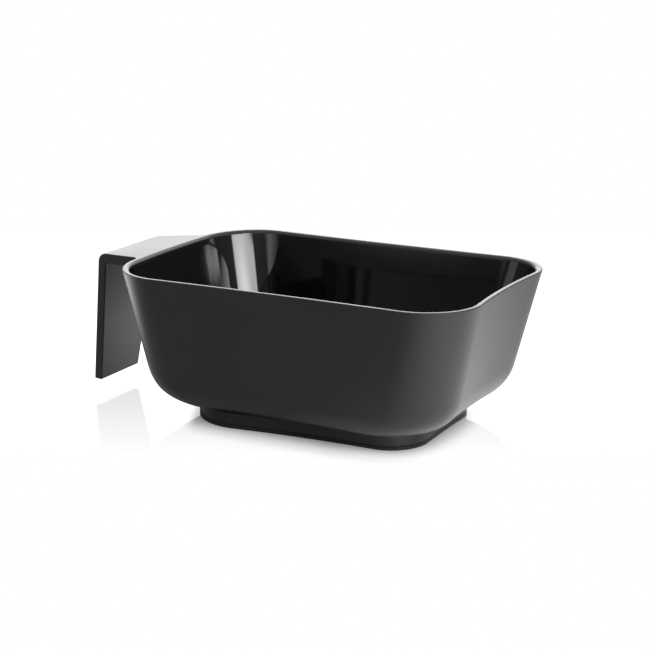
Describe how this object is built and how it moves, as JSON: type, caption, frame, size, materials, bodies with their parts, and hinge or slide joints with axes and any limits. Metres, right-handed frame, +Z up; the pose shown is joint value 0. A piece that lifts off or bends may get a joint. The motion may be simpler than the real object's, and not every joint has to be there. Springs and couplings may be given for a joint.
{
  "type": "hair colour bowl",
  "caption": "Rounded rectangular salon bowl for mixing and holding hair colour, with a folded hook handle level with the rim and a rubber non-slip ring under the base.",
  "frame": {"origin": "on the table, under the middle of the overall length and width", "axes": "+Z up, +X along the bowl away from the handle, +Y across the bowl"},
  "size_m": [0.1504, 0.0884, 0.0513],
  "materials": {
    "bowl_plastic": "fine satin outside and on the handle, polished inside the bowl",
    "ring_rubber": "smooth matte"
  },
  "bodies": {
    "root": {"bowl": "bowl_plastic", "non_slip_ring": "ring_rubber"}
  },
  "joints": []
}
